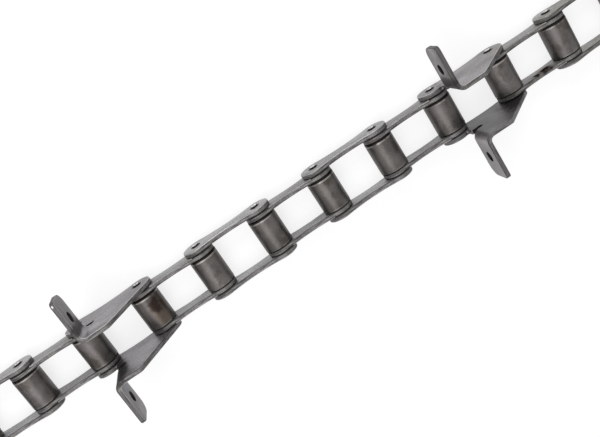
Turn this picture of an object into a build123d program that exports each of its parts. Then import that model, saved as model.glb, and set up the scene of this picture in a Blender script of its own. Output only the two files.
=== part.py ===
"""Steel roller chain, 41.4 mm pitch, with bent attachment plates.

A length of agricultural elevator chain. Roller links and pin links take turns, every bush
carries a free roller, and two of the pin links have plates whose raised ear is bent outward
into a bolting lug.

Frame: +X along the chain, +Y across it, +Z up. The chain lies straight on its rollers, which
stand a little proud of the plates. The origin is under its middle, on the surface it lies on.
Sizes are in millimetres.
"""
from build123d import *
import math
import os

# --- driving dimensions -----------------------------------------------------------------------
PITCH = 41.4              # pin centre to pin centre
LINKS = 13                # odd, so both ends are roller links
WING_LINKS = (4, 10)      # pin links whose plates carry the bolting lugs

INNER_WIDTH = 22.23       # between the plates of a roller link
PLATE = 2.8               # thickness of every plate
PLATE_GAP = 0.35          # running gap between the plates of neighbouring links
HEAD_R = 8.65             # rounded plate end, about its pin
WAIST_HALF = 5.4          # half the plate's height midway between the pins
EDGE_BREAK = 0.5          # chamfer round the outer face of every plate

PIN_R = 2.87
PIN_PROUD = 0.9           # riveted pin end, beyond the plate
PIN_CHAMFER = 0.4
PUNCH_R = 0.9             # punch mark in the riveted end
PUNCH_DEPTH = 0.45
HOLE_BREAK = 0.8          # chamfer of a pin hole, on the plate's outer face

BUSH_R = 4.45
BUSH_BORE_R = 2.94
ROLLER_R = 8.89
ROLLER_BORE_R = 4.53
ROLLER_END_GAP = 0.35     # between a roller's end and the plate beside it
ROLLER_CHAMFER = 0.6
BORE_CHAMFER = 0.3

EAR_TOP = 36.3            # height of the ear and the lug above the pin line
EAR_CORNER_X = 18.5       # from the first pin to where the slanted edge meets the top
EAR_CORNER_R = 3.0
LUG_X = 34.2              # near face of the lug, from the first pin
LUG_BOTTOM = 16.6
LUG_REACH = 43.2          # outer end of the lug, from the chain's middle plane
LUG_TOP_R = 2.5           # corner radii of the lug
LUG_BOTTOM_R = 6.5
LUG_HOLE_R = 3.3          # clears an M6 bolt
LUG_HOLE_Y = 29.2
LUG_HOLE_Z = 26.5
BEND_R = 2.5              # inside radius of the bend
SHOULDER_X = 35.6         # edge of the plate under the relief slot
SHOULDER_TOP = 12.9
SHOULDER_FILLET = 2.0
SLOT_END_X = 28.6         # blind end of the relief slot

# --- worked out from them ---------------------------------------------------------------------
PIN_Z = ROLLER_R                                   # height of the pin line above the surface
PINS = LINKS + 1
INNER_FACE = INNER_WIDTH / 2                       # roller link plate, face next to the rollers
MIDDLE_FACE = INNER_FACE + PLATE                   # its other face, and the ends of the bushes
OUTER_FACE = MIDDLE_FACE + PLATE_GAP               # pin link plate, face next to that
SKIN = OUTER_FACE + PLATE                          # its other face
WAIST_R = ((PITCH / 2) ** 2 + WAIST_HALF ** 2 - HEAD_R ** 2) / (2 * (HEAD_R - WAIST_HALF))
WAIST_Z = WAIST_HALF + WAIST_R                     # centre of the waist's arc


def pin_x(number):
    """X of a pin, counted from 1 at the chain's -X end."""
    return (number - (PINS + 1) / 2) * PITCH


def waist(side):
    """Concave arc between the two plate ends, above (1) or below (-1) the pin line."""
    reach = HEAD_R / (HEAD_R + WAIST_R)
    across = PITCH / 2 * reach
    height = side * WAIST_Z * reach
    return ThreePointArc((across, height), (PITCH / 2, side * WAIST_HALF), (PITCH - across, height))


def plain_outline():
    """Figure-of-eight outline of a plain plate, first pin at the origin."""
    bottom = waist(-1)
    top = waist(1)
    left = ThreePointArc(top @ 0, (-HEAD_R, 0), bottom @ 0)
    right = ThreePointArc(bottom @ 1, (PITCH + HEAD_R, 0), top @ 1)
    return make_face([bottom, right, top, left])


def ear_outline():
    """Outline of an attachment plate as far as its bend, first pin at the origin."""
    bottom = waist(-1)
    corner = Vector(EAR_CORNER_X, EAR_TOP)
    heading = math.atan2(-corner.Y, -corner.X) - math.asin(HEAD_R / corner.length)
    run = math.sqrt(corner.length ** 2 - HEAD_R ** 2)
    touch = corner + Vector(math.cos(heading), math.sin(heading)) * run
    root = Vector(SHOULDER_X, math.sqrt(HEAD_R ** 2 - (PITCH - SHOULDER_X) ** 2))
    left = ThreePointArc(touch, (-HEAD_R, 0), bottom @ 0)
    right = ThreePointArc(bottom @ 1, (PITCH + HEAD_R, 0), root)
    slot_r = (LUG_BOTTOM - SHOULDER_TOP) / 2
    slot_x = SLOT_END_X + slot_r
    shoulder = Polyline(root, (SHOULDER_X, SHOULDER_TOP), (slot_x, SHOULDER_TOP))
    slot = ThreePointArc(shoulder @ 1, (SLOT_END_X, LUG_BOTTOM - slot_r), (slot_x, LUG_BOTTOM))
    bend_x = LUG_X - BEND_R
    ear = Polyline(slot @ 1, (bend_x, LUG_BOTTOM), (bend_x, EAR_TOP), corner, touch)
    outline = make_face([bottom, right, shoulder, slot, ear, left])
    outline = fillet(outline.vertices().sort_by_distance(corner)[0], EAR_CORNER_R)
    return fillet(outline.vertices().sort_by_distance(root)[0], SHOULDER_FILLET)


def pin_holes(radius):
    """The plate's two round holes, one at each pin."""
    return Circle(radius) + Pos(PITCH, 0) * Circle(radius)


def on_edge(outline, inner_face):
    """Stand an outline up as a plate on the -Y side of the chain."""
    return Pos(0, -inner_face, 0) * extrude(Plane.XZ * outline, PLATE)


def break_holes(plate, outer_face):
    """Chamfer the outer rims of a plate's pin holes."""
    rims = plate.edges().filter_by(GeomType.CIRCLE).filter_by(lambda e: abs(e.radius - PIN_R) < 0.01)
    return chamfer(rims.filter_by(lambda e: abs(e.center().Y + outer_face) < 0.01), HOLE_BREAK)


def inner_plate():
    """Roller link plate, pierced for the bushes."""
    plate = on_edge(plain_outline() - pin_holes(BUSH_R), INNER_FACE)
    return chamfer(plate.faces().sort_by(Axis.Y)[0].outer_wire().edges(), EDGE_BREAK)


def outer_plate():
    """Pin link plate, pierced for the pins."""
    plate = on_edge(plain_outline() - pin_holes(PIN_R), OUTER_FACE)
    plate = chamfer(plate.faces().sort_by(Axis.Y)[0].outer_wire().edges(), EDGE_BREAK)
    return break_holes(plate, SKIN)


def lug():
    """Quarter-turn bend and the lug beyond it, with its bolt hole."""
    height = EAR_TOP - LUG_BOTTOM
    section = Circle(BEND_R + PLATE) - Circle(BEND_R)
    section &= Rectangle(2 * PLATE + 2 * BEND_R, 2 * PLATE + 2 * BEND_R, align=Align.MIN)
    bend = Pos(LUG_X - BEND_R, -SKIN - BEND_R, LUG_BOTTOM) * extrude(section, height)
    width = LUG_REACH - SKIN - BEND_R
    flat = Plane.YZ * (Pos(-LUG_REACH, LUG_BOTTOM) * Rectangle(width, height, align=Align.MIN))
    ends = flat.vertices().group_by(Axis.Y)[0].sort_by(Axis.Z)
    flat = fillet(ends[0], LUG_BOTTOM_R)
    flat = fillet(flat.vertices().sort_by_distance((0, -LUG_REACH, EAR_TOP))[0], LUG_TOP_R)
    flat -= Plane.YZ * (Pos(-LUG_HOLE_Y, LUG_HOLE_Z) * Circle(LUG_HOLE_R))
    return bend + Pos(LUG_X, 0, 0) * extrude(flat, PLATE, dir=(1, 0, 0))


def on_wing_rim(edge):
    """Whether an edge bounds the attachment plate's outer face, round the bend and the lug."""
    spot = edge.center()
    if edge.geom_type == GeomType.CIRCLE:
        if min(abs(edge.radius - PIN_R), abs(edge.radius - LUG_HOLE_R)) < 0.01:
            return False
        if abs(edge.radius - BEND_R) < 0.01 and spot.Y > -SKIN - BEND_R:
            return True
    seam = abs(spot.Z - (LUG_BOTTOM + EAR_TOP) / 2) < 0.01
    return not seam and (abs(spot.Y + SKIN) < 0.01 or abs(spot.X - LUG_X) < 0.01)


def wing_plate():
    """Attachment plate: pin link plate, raised ear, bend and bolting lug in one piece."""
    plate = on_edge(ear_outline() - pin_holes(PIN_R), OUTER_FACE) + lug()
    plate = chamfer(plate.edges().filter_by(on_wing_rim), EDGE_BREAK)
    return break_holes(plate, SKIN)


def bush():
    """Bush pressed into both plates of a roller link, first pin at the origin."""
    tube = Cylinder(BUSH_R, 2 * MIDDLE_FACE) - Cylinder(BUSH_BORE_R, 2 * MIDDLE_FACE)
    rims = tube.edges().filter_by(GeomType.CIRCLE).filter_by(lambda e: e.radius < BUSH_R - 0.1)
    return Rot(90) * chamfer(rims, BORE_CHAMFER)


def pin():
    """Headless pin, chamfered and punch-marked at both ends."""
    half = SKIN + PIN_PROUD
    rod = Cylinder(PIN_R, 2 * half)
    rod = chamfer(rod.edges().filter_by(GeomType.CIRCLE), PIN_CHAMFER)
    mark = Cone(0, PUNCH_R, PUNCH_DEPTH)
    rod -= Pos(0, 0, half - PUNCH_DEPTH / 2) * mark
    rod -= Pos(0, 0, PUNCH_DEPTH / 2 - half) * Rot(180) * mark
    return Rot(90) * rod


def roller():
    """Free roller, chamfered outside and in the bore."""
    length = INNER_WIDTH - 2 * ROLLER_END_GAP
    tube = Cylinder(ROLLER_R, length) - Cylinder(ROLLER_BORE_R, length)
    rims = tube.edges().filter_by(GeomType.CIRCLE)
    tube = chamfer(rims.filter_by(lambda e: e.radius > ROLLER_R - 0.1), ROLLER_CHAMFER)
    rims = tube.edges().filter_by(GeomType.CIRCLE)
    return Rot(90) * chamfer(rims.filter_by(lambda e: e.radius < ROLLER_BORE_R + 0.1), BORE_CHAMFER)


def save(node, first_pin, *solids):
    """Write one node, its solids moved from the origin to the pin they belong at."""
    place = Pos(pin_x(first_pin), 0, PIN_Z)
    export_step(Compound(label=node, children=[place * solid for solid in solids]), f"parts/{node}.step")


def save_pair(node, first_pin, plate):
    """Write a plate and its mirror image on the other side of the chain."""
    save(node.format("front"), first_pin, plate)
    save(node.format("rear"), first_pin, mirror(plate, Plane.XZ))


if __name__ == "__main__":
    os.makedirs("parts", exist_ok=True)
    inner = inner_plate()
    outer = outer_plate()
    wing = wing_plate()
    for number in range(1, PINS + 1):
        save(f"roller_{number:02d}", number, roller())
    for number in range(1, LINKS + 1):
        name = f"link_{number:02d}"
        if number % 2:
            save_pair(name + "_{}_inner_plate", number, inner)
            save(name + "_bushes", number, bush(), Pos(PITCH, 0, 0) * bush())
        elif number in WING_LINKS:
            save_pair(name + "_{}_wing_plate", number, wing)
            save(name + "_pins", number, pin(), Pos(PITCH, 0, 0) * pin())
        else:
            save_pair(name + "_{}_outer_plate", number, outer)
            save(name + "_pins", number, pin(), Pos(PITCH, 0, 0) * pin())
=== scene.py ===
import math
import bmesh
import bpy
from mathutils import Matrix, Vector


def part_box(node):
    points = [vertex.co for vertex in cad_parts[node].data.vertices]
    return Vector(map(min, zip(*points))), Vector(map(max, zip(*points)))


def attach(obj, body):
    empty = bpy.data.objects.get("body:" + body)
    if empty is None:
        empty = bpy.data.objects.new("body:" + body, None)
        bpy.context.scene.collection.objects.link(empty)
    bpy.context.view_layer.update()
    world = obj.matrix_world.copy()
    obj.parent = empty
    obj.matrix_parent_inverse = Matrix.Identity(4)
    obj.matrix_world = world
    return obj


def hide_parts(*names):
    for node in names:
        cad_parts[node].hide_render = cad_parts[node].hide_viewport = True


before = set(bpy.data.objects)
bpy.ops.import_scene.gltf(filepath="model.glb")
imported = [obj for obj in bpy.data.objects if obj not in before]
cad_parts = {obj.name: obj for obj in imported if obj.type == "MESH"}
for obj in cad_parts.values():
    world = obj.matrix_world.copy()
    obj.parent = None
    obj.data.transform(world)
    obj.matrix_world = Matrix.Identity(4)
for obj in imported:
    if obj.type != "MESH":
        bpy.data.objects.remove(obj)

for start_object in ("Cube", "Light", "Camera"):
    if start_object in bpy.data.objects:
        bpy.data.objects.remove(bpy.data.objects[start_object])

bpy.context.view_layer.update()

# --- Rollers ------------------------------------------------------------------------------------
# Each roller is a short tube of hardened steel, turned to size and free to turn on its bush.
# Its corners are rounded off and painted dark as shade where they meet the plates, and the tread
# begins with a bright line, partly wear and partly a painted highlight that is stronger on the -Y end.

MM = 0.001
LINKS = 13
ROLLERS = LINKS + 1
ROLLER_CORNER = 0.60 * MM
ROLLER_STEPS = 96
CORNER_STEPS = 3
BUSH_CLEARANCE = 0.08 * MM
SAME_POINT = 0.002 * MM
SHARP_EDGE = math.radians(28)


def middle(node):
    """Centre of a CAD node's box."""
    low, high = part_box(node)
    return (Vector(low) + Vector(high)) / 2


def size(node):
    """Edge lengths of a CAD node's box."""
    low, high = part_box(node)
    return Vector(high) - Vector(low)


pins = [middle(f"roller_{number:02d}") for number in range(1, ROLLERS + 1)]
PITCH = (pins[-1].x - pins[0].x) / LINKS
ROLLER_R = size("roller_01").x / 2
ROLLER_LENGTH = size("roller_01").y
BUSH_R = (size("link_01_bushes").x - PITCH) / 2


def by_pin(number, x, y, z):
    """A point on or near the plates, measured from one pin's middle."""
    return tuple(pins[number - 1] + Vector((x, y, z)))


def new_tree(name, inputs):
    """Start a geometry tree with named inputs; returns it with its two end nodes."""
    tree = bpy.data.node_groups.new(name, "GeometryNodeTree")
    tree.is_modifier = True
    for label, kind in inputs:
        tree.interface.new_socket(label, in_out="INPUT", socket_type="NodeSocket" + kind)
    tree.interface.new_socket("Geometry", in_out="OUTPUT", socket_type="NodeSocketGeometry")
    return tree, tree.nodes.new("NodeGroupInput"), tree.nodes.new("NodeGroupOutput")


def step(tree, kind, settings=None, **inputs):
    """Add a node; an input is a value or another node's output socket. Underscores are spaces."""
    made = tree.nodes.new(kind)
    for name, value in (settings or {}).items():
        setattr(made, name, value)
    for name, value in inputs.items():
        socket = made.inputs[name.replace("_", " ")]
        for source in value if isinstance(value, list) else [value]:
            if isinstance(source, bpy.types.NodeSocket):
                tree.links.new(source, socket)
            else:
                socket.default_value = source
    return made


def combine(tree, operation, *values, kind="ShaderNodeMath"):
    """One step of arithmetic, on numbers or vectors; each value may be a socket."""
    made = tree.nodes.new(kind)
    made.operation = operation
    for socket, value in zip(made.inputs, values):
        if isinstance(value, bpy.types.NodeSocket):
            tree.links.new(value, socket)
        else:
            socket.default_value = value
    return made.outputs[0]


def end_tree(tree, geometry, material, last):
    """Realize Instances and Set Material, as every tree here ends."""
    real = step(tree, "GeometryNodeRealizeInstances", Geometry=geometry)
    painted = step(tree, "GeometryNodeSetMaterial", Geometry=real.outputs[0], Material=material)
    tree.links.new(painted.outputs[0], last.inputs[0])


def close_up(mesh):
    """Merge doubled points, turn every face outward, and smooth all but the sharp edges."""
    work = bmesh.new()
    work.from_mesh(mesh)
    bmesh.ops.remove_doubles(work, verts=work.verts, dist=SAME_POINT)
    bmesh.ops.recalc_face_normals(work, faces=work.faces)
    work.to_mesh(mesh)
    work.free()
    mesh.shade_smooth()
    mesh.set_sharp_from_angle(angle=SHARP_EDGE)


def grown(name, tree, sizes, base=None):
    """Run a tree once with these sizes and keep the result as a plain mesh."""
    thing = bpy.data.objects.new(name, base or bpy.data.meshes.new(name))
    bpy.context.scene.collection.objects.link(thing)
    modifier = thing.modifiers.new(tree.name, "NODES")
    modifier.node_group = tree
    for item in tree.interface.items_tree:
        if item.name in sizes:
            modifier[item.identifier] = sizes[item.name]
    bpy.context.view_layer.update()
    evaluated = thing.evaluated_get(bpy.context.evaluated_depsgraph_get())
    result = bpy.data.meshes.new_from_object(evaluated)
    thing.modifiers.remove(modifier)
    thing.data = result
    close_up(result)
    return thing


roller_tree, given, last = new_tree("Turned roller", [
    ("Outer Radius", "Float"), ("Bore Radius", "Float"), ("Length", "Float"),
    ("Corner Radius", "Float"), ("Place", "Vector"), ("Finish", "Material")])
outer, bore = given.outputs["Outer Radius"], given.outputs["Bore Radius"]
wall = combine(roller_tree, "SUBTRACT", outer, bore)
mid_wall = combine(roller_tree, "MULTIPLY", combine(roller_tree, "ADD", outer, bore), 0.5)
path = step(roller_tree, "GeometryNodeCurvePrimitiveCircle", Resolution=ROLLER_STEPS, Radius=mid_wall)
section = step(roller_tree, "GeometryNodeCurvePrimitiveQuadrilateral",
               Width=wall, Height=given.outputs["Length"])
rounded = step(roller_tree, "GeometryNodeFilletCurve", {"mode": "POLY"},
               Curve=section.outputs[0], Count=CORNER_STEPS, Radius=given.outputs["Corner Radius"])
tube = step(roller_tree, "GeometryNodeCurveToMesh",
            Curve=path.outputs[0], Profile_Curve=rounded.outputs[0])
placed = step(roller_tree, "GeometryNodeTransform", Geometry=tube.outputs[0],
              Rotation=(math.pi / 2, 0, 0), Translation=given.outputs["Place"])
end_tree(roller_tree, placed.outputs[0], given.outputs["Finish"], last)


def new_material(name):
    """A node material; returns it with its tree, its shader and the Object coordinates."""
    material = bpy.data.materials.new(name)
    material.use_nodes = True
    tree = material.node_tree
    shader = tree.nodes["Principled BSDF"]
    place = tree.nodes.new("ShaderNodeTexCoord").outputs["Object"]
    return material, tree, shader, place


def axis(tree, place, number):
    """One coordinate of a place: 0, 1 or 2 for X, Y or Z."""
    return step(tree, "ShaderNodeSeparateXYZ", Vector=place).outputs[number]


def noise(tree, place, stretch, detail=3, shift=(0, 0, 0)):
    """Noise on coordinates stretched by so many cycles per metre along X, Y and Z."""
    mapping = step(tree, "ShaderNodeMapping", Vector=place, Scale=stretch, Location=shift)
    made = step(tree, "ShaderNodeTexNoise", Vector=mapping.outputs[0], Scale=1.0,
                Detail=detail, Roughness=0.55)
    return made.outputs[0]


def ramp(tree, value, low, high, start=0.0, end=1.0):
    """Smooth step: start up to low, end from high on."""
    made = step(tree, "ShaderNodeMapRange", {"interpolation_type": "SMOOTHSTEP"}, Value=value,
                From_Min=low, From_Max=high, To_Min=start, To_Max=end)
    return made.outputs[0]


def between(tree, share, low, high):
    """A value that runs from low to high as a share runs from 0 to 1."""
    return ramp(tree, share, 0.0, 1.0, low, high)


def mix(tree, factor, first, second):
    """Mix two colours; each is an (r, g, b) or a socket."""
    made = tree.nodes.new("ShaderNodeMix")
    made.data_type = "RGBA"
    for number, value in ((0, factor), (6, first), (7, second)):
        if isinstance(value, bpy.types.NodeSocket):
            tree.links.new(value, made.inputs[number])
        else:
            made.inputs[number].default_value = (*value, 1)
    return made.outputs[2]


def coat(tree, under, cover, colour, share=1.0):
    """Lay a colour over what is under it where cover is 1, by this share of it at most."""
    return mix(tree, combine(tree, "MULTIPLY", cover, share), under, colour)


def bump(tree, shader, height, strength, distance):
    """Feed a height into the shader's normal, on top of what is there already."""
    made = step(tree, "ShaderNodeBump", Strength=strength, Distance=distance, Height=height)
    if shader.inputs["Normal"].is_linked:
        tree.links.new(shader.inputs["Normal"].links[0].from_socket, made.inputs["Normal"])
    tree.links.new(made.outputs[0], shader.inputs["Normal"])


RAGGED = 1.6
FADED_OUT = 2.1
FULL = 1.3


def spot(tree, place, centre, radius, squash=(1, 1, 1)):
    """A ragged patch about a point, 1 inside and 0 outside; squash scales distances by axis."""
    ragged = combine(tree, "MULTIPLY", noise(tree, place, (330, 330, 330), detail=4), radius * RAGGED)
    away = combine(tree, "SUBTRACT", place, centre, kind="ShaderNodeVectorMath")
    squashed = combine(tree, "MULTIPLY", away, squash, kind="ShaderNodeVectorMath")
    length = step(tree, "ShaderNodeVectorMath", {"operation": "LENGTH"}, Vector=squashed)
    rough_length = combine(tree, "ADD", length.outputs["Value"], ragged)
    return ramp(tree, rough_length, radius * FADED_OUT, radius * FULL)


FINE = (1500, 1500, 1500)
GUNMETAL_DARK = (0.086, 0.079, 0.076)
GUNMETAL_LIGHT = (0.136, 0.124, 0.120)
OLD_GREASE = (0.040, 0.031, 0.022)
SPECK_DARK = (0.030, 0.027, 0.026)
SPECK_LIGHT = (0.220, 0.208, 0.202)
BROWN_OIL = (0.085, 0.060, 0.036)
BLACK_OIL = (0.022, 0.013, 0.012)
# The tread's bright line: partly wear, partly a painted highlight.
WORN_AND_HIGHLIGHT = (0.34, 0.32, 0.31)
# Painted shade for the roller's corners, where they meet the plates.
CORNER_SHADE = (0.014, 0.012, 0.010)
OILY_ROLLER = 10
TREAD_END = ROLLER_LENGTH / 2 - ROLLER_CORNER
BRIGHT_LINE_FROM = TREAD_END - 1.20 * MM
BRIGHT_LINE_TO = TREAD_END - 0.80 * MM
CORNER_SHADE_FROM = TREAD_END - 0.26 * MM
SIDE_PLAY = 0.40 * MM

roller_finish, tree, shader, place = new_material("roller_gunmetal")
patches = ramp(tree, noise(tree, place, (55, 70, 55), detail=4), 0.36, 0.66)
turning = noise(tree, place, (60, 5200, 60), detail=2)
greased = ramp(tree, noise(tree, place, (110, 75, 110), detail=5, shift=(3, 1, 7)), 0.53, 0.66)
specks = noise(tree, place, FINE, detail=3, shift=(4, 6, 1))
brown = spot(tree, place, by_pin(OILY_ROLLER, -4.0 * MM, 2.5 * MM, ROLLER_R), 7.0 * MM, (1.3, 0.7, 1))
black = spot(tree, place, by_pin(OILY_ROLLER, -3.7 * MM, -3.2 * MM, ROLLER_R), 4.4 * MM, (1, 0.8, 1))
along = axis(tree, place, 1)
off_centre = combine(tree, "ABSOLUTE", combine(tree, "SUBTRACT", along, SIDE_PLAY))
# A bright line where the tread begins, partly wear and partly a painted highlight; the -Y end gets more of it
# as a painted highlight.
bright_line = combine(tree, "MULTIPLY", ramp(tree, off_centre, BRIGHT_LINE_FROM, BRIGHT_LINE_TO),
               ramp(tree, noise(tree, place, (130, 40, 130), detail=3, shift=(8, 2, 5)), 0.40, 0.52))
bright_line = combine(tree, "MULTIPLY", bright_line, ramp(tree, along, 2 * MM, -2 * MM, 0.15, 0.7))
steel = mix(tree, patches, GUNMETAL_DARK, GUNMETAL_LIGHT)
steel = coat(tree, steel, greased, OLD_GREASE, 0.55)
steel = coat(tree, steel, ramp(tree, specks, 0.54, 0.70), SPECK_DARK, 0.35)
steel = coat(tree, steel, ramp(tree, specks, 0.44, 0.32), SPECK_LIGHT, 0.20)
steel = coat(tree, steel, brown, BROWN_OIL, 0.55)
steel = coat(tree, steel, black, BLACK_OIL, 0.9)
steel = coat(tree, steel, bright_line, WORN_AND_HIGHLIGHT)
# Painted shade on the rounded corners, where the roller meets the plates.
steel = coat(tree, steel, ramp(tree, off_centre, CORNER_SHADE_FROM, TREAD_END), CORNER_SHADE)
tree.links.new(steel, shader.inputs["Base Color"])
shader.inputs["Metallic"].default_value = 0.9
tree.links.new(between(tree, patches, 0.38, 0.48), shader.inputs["Roughness"])
bump(tree, shader, turning, 0.12, 0.05 * MM)
bump(tree, shader, brown, 0.15, 0.05 * MM)

for number, pin in enumerate(pins, 1):
    node = f"roller_{number:02d}"
    tread = grown(f"tread_{number:02d}", roller_tree, {
        "Outer Radius": ROLLER_R, "Bore Radius": BUSH_R + BUSH_CLEARANCE, "Length": ROLLER_LENGTH,
        "Corner Radius": ROLLER_CORNER, "Place": pin, "Finish": roller_finish})
    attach(tread, node)
    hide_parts(node)

# --- Bushes -------------------------------------------------------------------------------------
# Case-hardened tubes pressed into both plates of a roller link, flush with their outer faces.
# Only their ends and bores show, dark with old oil, in the chain's two open ends.

BUSH_GREY = (0.20, 0.19, 0.18)
BUSH_OILED = (0.085, 0.075, 0.062)

bush_finish, tree, shader, place = new_material("bush_oiled")
grime = ramp(tree, noise(tree, place, (240, 90, 240), detail=4), 0.40, 0.62)
tree.links.new(mix(tree, grime, BUSH_GREY, BUSH_OILED), shader.inputs["Base Color"])
shader.inputs["Metallic"].default_value = 0.85
tree.links.new(between(tree, grime, 0.32, 0.50), shader.inputs["Roughness"])
bump(tree, shader, noise(tree, place, (900, 300, 900), detail=3), 0.15, 0.04 * MM)

for name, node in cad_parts.items():
    if name.endswith("_bushes"):
        node.data.materials.clear()
        node.data.materials.append(bush_finish)

# --- Pins ---------------------------------------------------------------------------------------
# Headless pins of alloy steel, pressed through both plates of a pin link. Their ends stand just
# proud. A punch spread them: they are bright there, raised to near-white as a painted highlight,
# and painted black as shade in its mark and round the side.

PIN_R = size("link_02_pins").z / 2
PIN_END = size("link_02_pins").y / 2
PIN_STEPS = 48
PIN_SIDE_FROM = 0.85 * MM
# From the middle of an end outward: radius, and depth below the end's highest ring, in mm.
PIN_FACE = [(0.00, 0.40), (0.35, 0.34), (0.65, 0.08), (0.85, 0.0), (1.35, 0.02), (1.75, 0.08),
            (2.15, 0.26), (2.50, 0.50)]
# How dark each band of the end is, as painted shade, from the punch mark outward; the side has the last tone.
END_TONES = (1.0, 0.6, 0.0, 0.0, 0.1, 1.0)
# The bright end is spread steel raised to a painted highlight; the black is painted shade.
PUNCHED_AND_HIGHLIGHT = (0.95, 0.94, 0.93)
PUNCHED_DULL = (0.50, 0.47, 0.43)
PIN_BLACK = (0.012, 0.010, 0.008)


def turned_pin(work, centre):
    """Lathe one pin about a line along Y through its centre, and mark how dark each band is."""
    dark = work.faces.layers.float.get("dark") or work.faces.layers.float.new("dark")
    profile = [(-PIN_END + depth * MM, radius * MM) for radius, depth in PIN_FACE]
    profile.append((-PIN_END + PIN_SIDE_FROM, PIN_R))
    profile += [(-along, radius) for along, radius in reversed(profile)]
    rings = []
    for along, radius in profile:
        count = PIN_STEPS if radius else 1
        turns = [math.tau * k / PIN_STEPS for k in range(count)]
        rings.append([work.verts.new(centre + Vector((radius * math.cos(a), along, radius * math.sin(a))))
                      for a in turns])
    for band, (one, two) in enumerate(zip(rings, rings[1:])):
        from_end = min(band, len(rings) - 2 - band, len(END_TONES) - 1)
        for k in range(PIN_STEPS):
            after = (k + 1) % PIN_STEPS
            corners = [one[k % len(one)], one[after % len(one)], two[after % len(two)], two[k % len(two)]]
            face = work.faces.new(list(dict.fromkeys(corners)))
            face[dark] = END_TONES[from_end]


pin_finish, tree, shader, place = new_material("pin_bright")
old_oil = ramp(tree, noise(tree, place, (420, 260, 420), detail=4), 0.44, 0.66)
bright = mix(tree, old_oil, PUNCHED_AND_HIGHLIGHT, PUNCHED_DULL)
# Painted shade on the bands that turned_pin marks dark.
pin_shade = step(tree, "ShaderNodeAttribute", {"attribute_name": "dark"}).outputs["Fac"]
tree.links.new(mix(tree, pin_shade, bright, PIN_BLACK), shader.inputs["Base Color"])
shader.inputs["Metallic"].default_value = 0.9
tree.links.new(between(tree, old_oil, 0.24, 0.45), shader.inputs["Roughness"])
bump(tree, shader, noise(tree, place, FINE, detail=2), 0.12, 0.04 * MM)

for number in range(2, LINKS, 2):
    work = bmesh.new()
    for pin in pins[number - 1:number + 1]:
        turned_pin(work, pin)
    mesh = bpy.data.meshes.new(f"riveted_pins_{number:02d}")
    work.to_mesh(mesh)
    work.free()
    mesh.materials.append(pin_finish)
    close_up(mesh)
    riveted = bpy.data.objects.new(mesh.name, mesh)
    bpy.context.scene.collection.objects.link(riveted)
    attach(riveted, f"link_{number:02d}")
    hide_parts(f"link_{number:02d}_pins")

# --- Plain link plates --------------------------------------------------------------------------
# Waisted plates punched from hot-rolled carbon steel strip, two to a link, pressed onto the link's
# bushes or pins. Punching rolls the outer edge over and leaves the sheared rim darker and ribbed
# across its thickness.

PLATE = size("link_01_front_inner_plate").y
HEAD_R = size("link_01_front_inner_plate").z / 2
WAIST_HALF = 5.4 * MM
INNER_FACE = -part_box("link_01_front_inner_plate")[1].y
OUTER_FACE = -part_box("link_02_front_outer_plate")[1].y
WAIST_R = ((PITCH / 2) ** 2 + WAIST_HALF ** 2 - HEAD_R ** 2) / (2 * (HEAD_R - WAIST_HALF))
WAIST_Z = WAIST_HALF + WAIST_R
WAIST_TURN = math.atan2(WAIST_Z, PITCH / 2)
WAIST_STEPS = 26
HEAD_STEPS = 56
HOLE_STEPS = 48
# How far in from each end the inner plates' rolled edges get painted shade.
SHADED_REACH = 0.75 * HEAD_R
MITRE_LIMIT = 0.35
# Looks of a strip: burnished with a painted highlight, rolled face, sheared rim, and painted shade.
BURNISHED_AND_HIGHLIT, ROLLED, SHEARED, SHADED = -1.0, 0.0, 1.0, 2.0
# A rim, from the outer face to the inner: how far into the metal from the outline in mm, 1 for the
# outer face or 0 for the inner, how far out from there in mm, and the look of the strip that follows.
ROLLED_RIM = [(0.42, 1, 0.0, ROLLED), (0.20, 1, -0.07, ROLLED), (0.06, 1, -0.26, ROLLED),
              (0.0, 1, -0.55, SHEARED), (0.0, 0, 0.10, SHEARED), (0.10, 0, 0.0, ROLLED)]
# A pin hole's countersink is painted dark as shade.
SUNK_RIM = [(0.30, 1, 0.0, SHADED), (0.05, 1, -0.35, SHADED), (0.0, 1, -0.80, SHADED),
            (0.0, 0, 0.05, SHADED), (0.05, 0, 0.0, ROLLED)]
CLEAN_RIM = [(0.12, 1, 0.0, SHEARED), (0.0, 1, -0.12, SHEARED), (0.0, 0, 0.12, SHEARED),
             (0.12, 0, 0.0, ROLLED)]


def arc(centre, radius, start, end, steps):
    """Points along an arc, angles in radians, both ends included."""
    angles = [start + (end - start) * k / steps for k in range(steps + 1)]
    return [Vector((centre[0] + radius * math.cos(a), centre[1] + radius * math.sin(a))) for a in angles]


def lower_waist():
    """The plate's lower edge between the first pin's head and the second's."""
    swing = math.pi / 2 - WAIST_TURN
    return arc((PITCH / 2, -WAIST_Z), WAIST_R, math.pi / 2 + swing, math.pi / 2 - swing, WAIST_STEPS)


def waisted():
    """Outline of a plain plate, anticlockwise, first pin at the origin."""
    right = arc((PITCH, 0), HEAD_R, WAIST_TURN - math.pi, math.pi - WAIST_TURN, HEAD_STEPS)
    bottom = lower_waist()
    top = [Vector((PITCH - p.x, -p.y)) for p in bottom]
    left = [Vector((PITCH - p.x, -p.y)) for p in right]
    return bottom[:-1] + right[:-1] + top[:-1] + left[:-1]


def hole(x, z, radius):
    """Outline of a round hole, clockwise."""
    return arc((x, z), radius, 0, -math.tau, HOLE_STEPS)[:-1]


def inset(loop, distance):
    """Move a closed outline into the metal by this distance."""
    moved = []
    for before, point, after in zip(loop[-1:] + loop[:-1], loop, loop[1:] + loop[:1]):
        one = (point - before).normalized()
        two = (after - point).normalized()
        normal = Vector((-one.y - two.y, one.x + two.x)).normalized()
        mitre = max(MITRE_LIMIT, normal.dot(Vector((-one.y, one.x))))
        moved.append(point + normal * (distance / mitre))
    return moved


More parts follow.
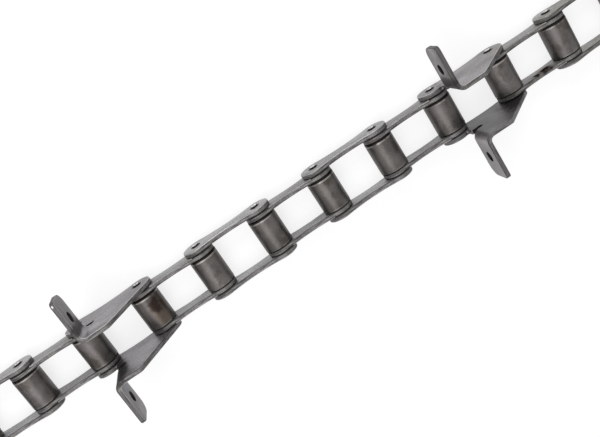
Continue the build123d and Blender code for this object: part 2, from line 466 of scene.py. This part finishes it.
def rim_ring(work, loop, off, at_skin, lift):
    """Points of one line of a rim; its faces lie in the XZ plane, the inner one at Y = 0."""
    y = -at_skin * PLATE - lift * MM
    return [work.verts.new((p.x, y, p.y)) for p in inset(loop, off * MM)]


def punched(outline, holes, rim=ROLLED_RIM, shaded_heads=False):
    """A flat plate with holes, with UVs that run along its cut rims."""
    work = bmesh.new()
    uv = work.loops.layers.uv.new("UVMap")
    look = work.faces.layers.float.new("look")
    rims = [(outline, rim)] + holes
    for end in (0, -1):
        edges = []
        for loop, profile in rims:
            ring = rim_ring(work, loop, *profile[end][:3])
            edges += [work.edges.new((a, b)) for a, b in zip(ring, ring[1:] + ring[:1])]
        bmesh.ops.triangle_fill(work, edges=edges, use_beauty=True)
    for loop, profile in rims:
        run = [0.0]
        for a, b in zip(loop, loop[1:] + loop[:1]):
            run.append(run[-1] + (b - a).length)
        rings = [rim_ring(work, loop, *line[:3]) for line in profile]
        for (_, at_skin, _, kind), one, two in zip(profile, rings, rings[1:]):
            for k, point in enumerate(loop):
                after = (k + 1) % len(loop)
                face = work.faces.new((one[k], one[after], two[after], two[k]))
                # The inner plates' rolled edges at the heads get painted shade where the outer plates cover
                # them.
                head = abs(point.x - PITCH / 2) > PITCH / 2 - SHADED_REACH
                face[look] = SHADED if shaded_heads and head and at_skin and kind == ROLLED else kind
                for corner, along in zip(face.loops, (run[k], run[k + 1], run[k + 1], run[k])):
                    corner[uv].uv = (along, corner.vert.co.y)
    bmesh.ops.remove_doubles(work, verts=work.verts, dist=SAME_POINT)
    return work


def as_mesh(work, name):
    """Turn finished plate geometry into a mesh."""
    mesh = bpy.data.meshes.new(name)
    bmesh.ops.recalc_face_normals(work, faces=work.faces)
    work.to_mesh(mesh)
    work.free()
    return mesh


pair_tree, given, last = new_tree("Plates of a link", [
    ("Geometry", "Geometry"), ("Stand Off", "Float"), ("Place", "Vector"), ("Finish", "Material")])
outward = combine(pair_tree, "MULTIPLY", given.outputs["Stand Off"], -1.0)
shift = step(pair_tree, "ShaderNodeCombineXYZ", Y=outward)
front = step(pair_tree, "GeometryNodeTransform",
             Geometry=given.outputs["Geometry"], Translation=shift.outputs[0])
rear = step(pair_tree, "GeometryNodeTransform", Geometry=front.outputs[0], Scale=(1, -1, 1))
turned = step(pair_tree, "GeometryNodeFlipFaces", Mesh=rear.outputs[0])
both = step(pair_tree, "GeometryNodeJoinGeometry", Geometry=[front.outputs[0], turned.outputs[0]])
placed = step(pair_tree, "GeometryNodeTransform",
              Geometry=both.outputs[0], Translation=given.outputs["Place"])
end_tree(pair_tree, placed.outputs[0], given.outputs["Finish"], last)

STRIP_METALLIC = 0.7
PLAIN_SPECULAR = 0.5
OIL_FROM = -0.10
OIL_RUN = 0.07
# Where the painted shade on the lugs fades in, measured from the chain's middle plane.
LUG_SHADE_FROM = 18 * MM
LUG_SHADE_TO = 21 * MM
# Colours of the rolled faces, then of the cut rims and the shade along them, then of a burnish with a painted
# highlight, painted shade on the lugs, oil, rust, and painted shade in recesses.
INNER_LIGHT = (0.36, 0.355, 0.36)
INNER_DARK = (0.27, 0.26, 0.26)
OUTER_LIGHT = (0.46, 0.455, 0.46)
OUTER_DARK = (0.36, 0.355, 0.36)
GRAIN_GREY = (0.150, 0.144, 0.143)
SCALE_DARK = (0.120, 0.115, 0.113)
SCALE_LIGHT = (0.640, 0.630, 0.630)
PIT_DARK = (0.11, 0.105, 0.10)
SHEAR_DARK = (0.120, 0.113, 0.109)
SHEAR_LIGHT = (0.195, 0.187, 0.185)
TORN_DARK = (0.045, 0.041, 0.039)
TORN_LIGHT = (0.34, 0.33, 0.33)
ROLLOVER_SHADE = (0.040, 0.037, 0.035)
BURR_SHADE = (0.060, 0.056, 0.053)
BURNISH_AND_HIGHLIGHT = (0.62, 0.61, 0.62)
LUG_SHADE = (0.085, 0.082, 0.083)
THIN_OIL = (0.190, 0.175, 0.135)
RUST = (0.030, 0.018, 0.013)
RECESS_SHADE = (0.012, 0.011, 0.010)


def plate_finish(name, light, dark, stains=(), rust=()):
    """Rolled strip: faint lengthwise grain on the faces, streaked dark rims, oil towards -X."""
    material, tree, shader, place = new_material(name)
    clouds = ramp(tree, noise(tree, place, (38, 38, 60), detail=5), 0.36, 0.66)
    grain = noise(tree, place, (45, 900, 900), detail=3)
    pits = ramp(tree, noise(tree, place, (700, 700, 700), detail=2, shift=(5, 2, 8)), 0.62, 0.74)
    specks = noise(tree, place, FINE, detail=3, shift=(4, 6, 1))
    oil = combine(tree, "MULTIPLY", ramp(tree, axis(tree, place, 0), OIL_FROM, OIL_FROM - OIL_RUN),
                  ramp(tree, noise(tree, place, (70, 90, 70), detail=4, shift=(1, 9, 4)), 0.42, 0.62))
    face = mix(tree, clouds, dark, light)
    face = coat(tree, face, ramp(tree, grain, 0.46, 0.68), GRAIN_GREY, 0.45)
    face = coat(tree, face, ramp(tree, specks, 0.52, 0.70), SCALE_DARK, 0.50)
    face = coat(tree, face, ramp(tree, specks, 0.46, 0.32), SCALE_LIGHT, 0.40)
    face = coat(tree, face, pits, PIT_DARK, 0.40)
    face = coat(tree, face, oil, THIN_OIL, 0.6)

    on_cut = step(tree, "ShaderNodeUVMap", {"uv_map": "UVMap"}).outputs[0]
    ribs = noise(tree, on_cut, (2600, 260, 0), detail=2)
    streaks = noise(tree, on_cut, (120, 1250, 0), detail=4)
    depth = axis(tree, on_cut, 1)
    rim = mix(tree, ramp(tree, ribs, 0.34, 0.66), SHEAR_DARK, SHEAR_LIGHT)
    rim = coat(tree, rim, ramp(tree, streaks, 0.50, 0.40), TORN_DARK, 0.75)
    rim = coat(tree, rim, ramp(tree, streaks, 0.56, 0.66), TORN_LIGHT, 0.6)
    rim = coat(tree, rim, ramp(tree, depth, -0.55 * MM, -0.15 * MM), ROLLOVER_SHADE, 0.8)
    rim = coat(tree, rim, ramp(tree, depth, 0.9 * MM - PLATE, 0.6 * MM - PLATE), BURR_SHADE, 0.4)

    kind = step(tree, "ShaderNodeAttribute", {"attribute_name": "look"}).outputs["Fac"]
    on_rim = ramp(tree, kind, ROLLED, SHEARED)
    from_middle = combine(tree, "ABSOLUTE", axis(tree, place, 1))
    lug_shade_noise = noise(tree, place, (60, 60, 60), detail=3, shift=(7, 7, 2))
    lug_shade = combine(tree, "MULTIPLY", ramp(tree, from_middle, LUG_SHADE_FROM, LUG_SHADE_TO),
                      ramp(tree, lug_shade_noise, 0.35, 0.60, 0.35, 0.62))
    metal = mix(tree, on_rim, face, rim)
    # A painted highlight along burnished edges, on top of their burnish.
    metal = coat(tree, metal, ramp(tree, kind, ROLLED, BURNISHED_AND_HIGHLIT), BURNISH_AND_HIGHLIGHT, 0.6)
    # Painted shade on the lugs, out past 18 mm from the chain's middle plane, broken up by noise.
    metal = coat(tree, metal, lug_shade, LUG_SHADE)
    for centre, radius, squash, colour in stains:
        metal = coat(tree, metal, spot(tree, place, centre, radius, squash), colour, 0.85)
    shader.inputs["Metallic"].default_value = STRIP_METALLIC
    if rust:
        eaten = combine(tree, "MAXIMUM", *[spot(tree, place, *patch) for patch in rust])
        metal = coat(tree, metal, eaten, RUST)
        tree.links.new(between(tree, eaten, STRIP_METALLIC, 0.0), shader.inputs["Metallic"])
        tree.links.new(between(tree, eaten, PLAIN_SPECULAR, 0.0), shader.inputs["Specular IOR Level"])
    # Painted shade in holes, countersinks, grooves and the slot.
    metal = coat(tree, metal, ramp(tree, kind, SHEARED, SHADED), RECESS_SHADE)
    tree.links.new(metal, shader.inputs["Base Color"])

    face_rough = mix(tree, clouds, (0.50, 0.50, 0.50), (0.40, 0.40, 0.40))
    rough = mix(tree, on_rim, face_rough, (0.55, 0.55, 0.55))
    tree.links.new(rough, shader.inputs["Roughness"])
    bump(tree, shader, combine(tree, "MULTIPLY", ribs, on_rim), 0.20, 0.10 * MM)
    bump(tree, shader, grain, 0.08, 0.06 * MM)
    bump(tree, shader, pits, 0.10, 0.05 * MM)
    return material


# The rear plate of the third link has rusted in two places on its inside, just under its rim.
RUSTY_PLATE = 3
RUST_SQUASH = (0.80, 1.9, 1.05)
rust = [(by_pin(RUSTY_PLATE, 17.2 * MM, INNER_FACE, 3.1 * MM), 4.3 * MM, RUST_SQUASH),
        (by_pin(RUSTY_PLATE, 23.6 * MM, INNER_FACE, 3.8 * MM), 2.6 * MM, RUST_SQUASH)]
inner_finish = plate_finish("inner_plate_rolled", INNER_LIGHT, INNER_DARK, rust=rust)
outer_finish = plate_finish("outer_plate_rolled", OUTER_LIGHT, OUTER_DARK)
bush_holes = [(hole(x, 0, BUSH_R), CLEAN_RIM) for x in (0, PITCH)]
pin_holes = [(hole(x, 0, PIN_R), SUNK_RIM) for x in (0, PITCH)]
# The inner plates get painted shade on their rolled edges at the heads.
bushed = as_mesh(punched(waisted(), bush_holes, shaded_heads=True), "bushed")
pinned = as_mesh(punched(waisted(), pin_holes), "pinned")

WING_LINKS = (4, 10)
for number in range(1, LINKS + 1):
    if number in WING_LINKS:
        continue
    kind = "inner" if number % 2 else "outer"
    plates = grown(f"{kind}_plates_{number:02d}", pair_tree, {
        "Stand Off": INNER_FACE if number % 2 else OUTER_FACE, "Place": pins[number - 1],
        "Finish": inner_finish if number % 2 else outer_finish}, bushed if number % 2 else pinned)
    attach(plates, f"link_{number:02d}")
    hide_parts(*[f"link_{number:02d}_{side}_{kind}_plate" for side in ("front", "rear")])

# --- Attachment plates --------------------------------------------------------------------------
# Pin link plates blanked with a raised ear, then bent a quarter turn outward over a round-nosed
# die into a bolting lug. A slot is cut first, so that the lug's lower edge doesn't tear.

EAR_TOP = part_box("link_04_front_wing_plate")[1].z - pins[0].z
REACH = -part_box("link_04_front_wing_plate")[0].y
EAR_CORNER_X = 18.5 * MM
EAR_CORNER_R = 3.0 * MM
LUG_X = 34.2 * MM
LUG_BOTTOM = 16.6 * MM
LUG_TOP_R = 2.5 * MM
LUG_BOTTOM_R = 6.5 * MM
LUG_HOLE_Y = 29.2 * MM
LUG_HOLE_Z = 26.5 * MM
LUG_HOLE_R = 3.3 * MM
BEND_R = 2.5 * MM
SHOULDER_X = 35.6 * MM
SHOULDER_TOP = 12.9 * MM
SHOULDER_CORNER_R = 0.4 * MM
ROOT_FILLET_R = 1.0 * MM
SLOT_END_X = 28.6 * MM
SLOT_R = (LUG_BOTTOM - SHOULDER_TOP) / 2
SLOT_MARGIN = 0.1 * MM
BEND_START = LUG_X - BEND_R
BEND_RUN = (BEND_R + PLATE / 2) * math.pi / 2
BEND_CUTS = 12
SKIN = OUTER_FACE + PLATE
# Add this to a distance from the chain's middle plane, to find it along the flat blank.
UNBENT = BEND_START + BEND_RUN - SKIN - BEND_R
SLOT_STEPS = 16
CUT_HEAD_STEPS = 48
EARED_HEAD_STEPS = 40
# The ear's outer edge is burnished and carries a painted highlight.
EAR_RIM = [(0.34, 1, 0.0, BURNISHED_AND_HIGHLIT), (0.08, 1, -0.08, BURNISHED_AND_HIGHLIT), (0.0, 1, -0.30, SHEARED),
           (0.0, 0, 0.20, SHEARED), (0.22, 0, 0.0, ROLLED)]
# The bolt hole's walls are painted dark as shade.
BOLT_RIM = [(0.20, 1, 0.0, SHEARED), (0.0, 1, -0.20, SHADED), (0.0, 0, 0.10, SHADED),
            (0.10, 0, 0.0, ROLLED)]


def rounded_corner(before, corner, after, radius, steps=10):
    """Arc that replaces a sharp corner of an outline."""
    one = (before - corner).normalized()
    two = (after - corner).normalized()
    half = one.angle(two) / 2
    centre = corner + (one + two).normalized() * (radius / math.sin(half))
    start = corner + one * (radius / math.tan(half)) - centre
    end = corner + two * (radius / math.tan(half)) - centre
    first = math.atan2(start.y, start.x)
    turn = (math.atan2(end.y, end.x) - first + math.pi) % math.tau - math.pi
    return arc(centre, radius, first, first + turn, steps)


def blanked():
    """Outline of the attachment plate before bending, anticlockwise, first pin at the origin."""
    far = UNBENT + REACH
    corner = Vector((EAR_CORNER_X, EAR_TOP))
    heading = math.atan2(-corner.y, -corner.x) - math.asin(HEAD_R / corner.length)
    slant = math.sqrt(corner.length ** 2 - HEAD_R ** 2)
    touch = corner + Vector((math.cos(heading), math.sin(heading))) * slant
    root_turn = math.acos((SHOULDER_X - PITCH) / HEAD_R)
    slot_x = SLOT_END_X + SLOT_R
    points = lower_waist()[:-1]
    points += arc((PITCH, 0), HEAD_R, WAIST_TURN - math.pi, root_turn, CUT_HEAD_STEPS)
    root = points.pop()
    shoulder = Vector((SHOULDER_X, SHOULDER_TOP))
    points += rounded_corner(points[-1], root, shoulder, ROOT_FILLET_R, steps=5)
    points += rounded_corner(root, shoulder, Vector((slot_x, SHOULDER_TOP)), SHOULDER_CORNER_R, steps=3)
    points += arc((slot_x, LUG_BOTTOM - SLOT_R), SLOT_R, -math.pi / 2, -math.pi * 1.5, SLOT_STEPS)
    low = Vector((far, LUG_BOTTOM))
    high = Vector((far, EAR_TOP))
    points += rounded_corner(Vector((slot_x, LUG_BOTTOM)), low, high, LUG_BOTTOM_R)
    points += rounded_corner(low, high, corner, LUG_TOP_R)
    points += rounded_corner(high, corner, touch, EAR_CORNER_R)
    start = math.atan2(touch.y, touch.x)
    points += arc((0, 0), HEAD_R, start, math.tau - WAIST_TURN, EARED_HEAD_STEPS)[:-1]
    return points


def bent(point):
    """Where a point of the flat blank goes when the lug is folded outward."""
    run = point.x - BEND_START
    if run <= 0:
        return point
    radius = BEND_R + PLATE + point.y
    turn = min(run / BEND_RUN, 1.0) * math.pi / 2
    beyond = max(run - BEND_RUN, 0.0)
    return Vector((BEND_START + radius * math.sin(turn),
                   radius * math.cos(turn) - PLATE - BEND_R - beyond, point.z))


bolt_hole = (hole(UNBENT + LUG_HOLE_Y, LUG_HOLE_Z, LUG_HOLE_R), BOLT_RIM)
work = punched(blanked(), pin_holes + [bolt_hole], EAR_RIM)
for k in range(BEND_CUTS + 1):
    x = BEND_START + BEND_RUN * k / BEND_CUTS
    whole = work.verts[:] + work.edges[:] + work.faces[:]
    bmesh.ops.bisect_plane(work, geom=whole, plane_co=(x, 0, 0), plane_no=(1, 0, 0), dist=1e-7)
look = work.faces.layers.float["look"]
# The slot's walls are painted dark as shade.
for face in work.faces:
    at = face.calc_center_median()
    in_slot = SHOULDER_TOP - SLOT_MARGIN < at.z < LUG_BOTTOM + SLOT_MARGIN
    if in_slot and SLOT_END_X - SLOT_MARGIN < at.x < BEND_START + BEND_RUN / 2:
        face[look] = SHADED
for vert in work.verts:
    if vert.co.z > SHOULDER_TOP + SLOT_R:
        vert.co = bent(vert.co)
winged = as_mesh(work, "winged")

WING_LIGHT = (0.355, 0.334, 0.354)
WING_DARK = (0.275, 0.258, 0.272)
# A near-black for painted shade and a painted dark reflection.
PAINTED_DARK = (0.020, 0.017, 0.015)
CLOUDED = (0.165, 0.160, 0.162)
# A nick's colour, raised to near-white as a painted highlight.
NICK_HIGHLIGHT = (0.90, 0.90, 0.90)
LUG_MIDDLE = EAR_TOP / 2
LOW_WING, HIGH_WING = WING_LINKS
# Painted shade down two lugs by the bend and at one bend, a dull cloud, a painted dark reflection of the
# roller on the inside of one ear, and a small nick in the top corner of one lug, painted near-white as a
# highlight.
stains = [
    (by_pin(HIGH_WING, LUG_X, -SKIN - 5.6 * MM, LUG_MIDDLE), 3.6 * MM, (1, 1, 0.08), PAINTED_DARK),
    (by_pin(LOW_WING, LUG_X + PLATE, -SKIN - 3.5 * MM, LUG_MIDDLE), 4.0 * MM, (1, 1, 0.12), PAINTED_DARK),
    (by_pin(HIGH_WING, LUG_X - 2.5 * MM, OUTER_FACE, 24 * MM), 5.0 * MM, (1, 1, 0.28), PAINTED_DARK),
    (by_pin(LOW_WING, 18 * MM, OUTER_FACE, 10 * MM), 36.0 * MM, (1, 16, 1), CLOUDED),
    (by_pin(LOW_WING, 3.5 * MM, OUTER_FACE, 14.5 * MM), 13.5 * MM, (1.25, 6, 0.80), PAINTED_DARK),
    (by_pin(HIGH_WING, LUG_X + 0.6 * PLATE, 1.8 * MM - REACH, EAR_TOP), 0.6 * MM, (1.2, 0.7, 1), NICK_HIGHLIGHT),
]
wing_finish = plate_finish("wing_plate_rolled", WING_LIGHT, WING_DARK, stains)

for number in WING_LINKS:
    plates = grown(f"wing_plates_{number:02d}", pair_tree, {
        "Stand Off": OUTER_FACE, "Place": pins[number - 1], "Finish": wing_finish}, winged)
    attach(plates, f"link_{number:02d}")
    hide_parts(*[f"link_{number:02d}_{side}_wing_plate" for side in ("front", "rear")])

# --- Floor --------------------------------------------------------------------------------------
# A plain white table top, on which the chain lies loose.
# It shows white by itself and keeps the chain's soft shadow.

TABLE_GREY = (0.40, 0.40, 0.40, 1)
TABLE_SHOWN = 0.76
WHITE = (1, 1, 1, 1)


def seen_plainly(tree):
    """1 where the camera sees the surface, by itself or in metal or glass, and 0 in its light."""
    rays = step(tree, "ShaderNodeLightPath").outputs
    shown = combine(tree, "MAXIMUM", rays["Is Camera Ray"], rays["Is Glossy Ray"])
    return combine(tree, "MAXIMUM", shown, rays["Is Transmission Ray"])


floor_finish, tree, shader, place = new_material("white_table")
shader.inputs["Base Color"].default_value = TABLE_GREY
shader.inputs["Roughness"].default_value = 0.9
shader.inputs["Specular IOR Level"].default_value = 0.0
shader.inputs["Emission Color"].default_value = WHITE
tree.links.new(combine(tree, "MULTIPLY", seen_plainly(tree), TABLE_SHOWN), shader.inputs["Emission Strength"])
work = bmesh.new()
bmesh.ops.create_grid(work, x_segments=1, y_segments=1, size=3.0)
mesh = bpy.data.meshes.new("table_top")
work.to_mesh(mesh)
work.free()
mesh.materials.append(floor_finish)
floor = bpy.data.objects.new("table_top", mesh)
bpy.context.scene.collection.objects.link(floor)

# --- Light --------------------------------------------------------------------------------------
# A plain white room and two soft square lamps.
# The larger lamp hangs over the chain's +X end, the smaller one stands at its front.

ROOM_LIGHT = 0.35
ROOM_SHOWN = 0.65

world = bpy.data.worlds.new("white_room")
bpy.context.scene.world = world
world.use_nodes = True
tree = world.node_tree
room = tree.nodes["Background"]
room.inputs["Color"].default_value = WHITE
shown = combine(tree, "MULTIPLY", seen_plainly(tree), ROOM_SHOWN)
tree.links.new(combine(tree, "ADD", shown, ROOM_LIGHT), room.inputs["Strength"])


def lamp(name, place, width, watts):
    """A square soft lamp that points at the chain's middle."""
    data = bpy.data.lights.new(name, "AREA")
    data.size = width
    data.energy = watts
    made = bpy.data.objects.new(name, data)
    made.location = place
    made.rotation_euler = (-Vector(place)).to_track_quat("-Z", "Y").to_euler()
    bpy.context.scene.collection.objects.link(made)


lamp("key", (0.45, 0.25, 1.05), width=0.8, watts=4.6)
lamp("front", (-0.15, -0.9, 0.7), width=0.6, watts=3.2)

# --- Camera -------------------------------------------------------------------------------------
# A normal lens held by hand almost straight above the chain, and turned a little about every axis,
# so that the chain crosses the frame from corner to corner and runs out of it at both ends.

EYE = (0.01191, -0.12860, 0.47770)
EYE_TURN = (-12.668, -9.654, 147.474)

camera = bpy.data.cameras.new("camera")
camera.lens = 49.2
camera.sensor_width = 36.0
eye = bpy.data.objects.new("camera", camera)
eye.location = EYE
eye.rotation_euler = [math.radians(turn) for turn in EYE_TURN]
bpy.context.scene.collection.objects.link(eye)
bpy.context.scene.camera = eye
bpy.context.scene.view_settings.view_transform = "Standard"
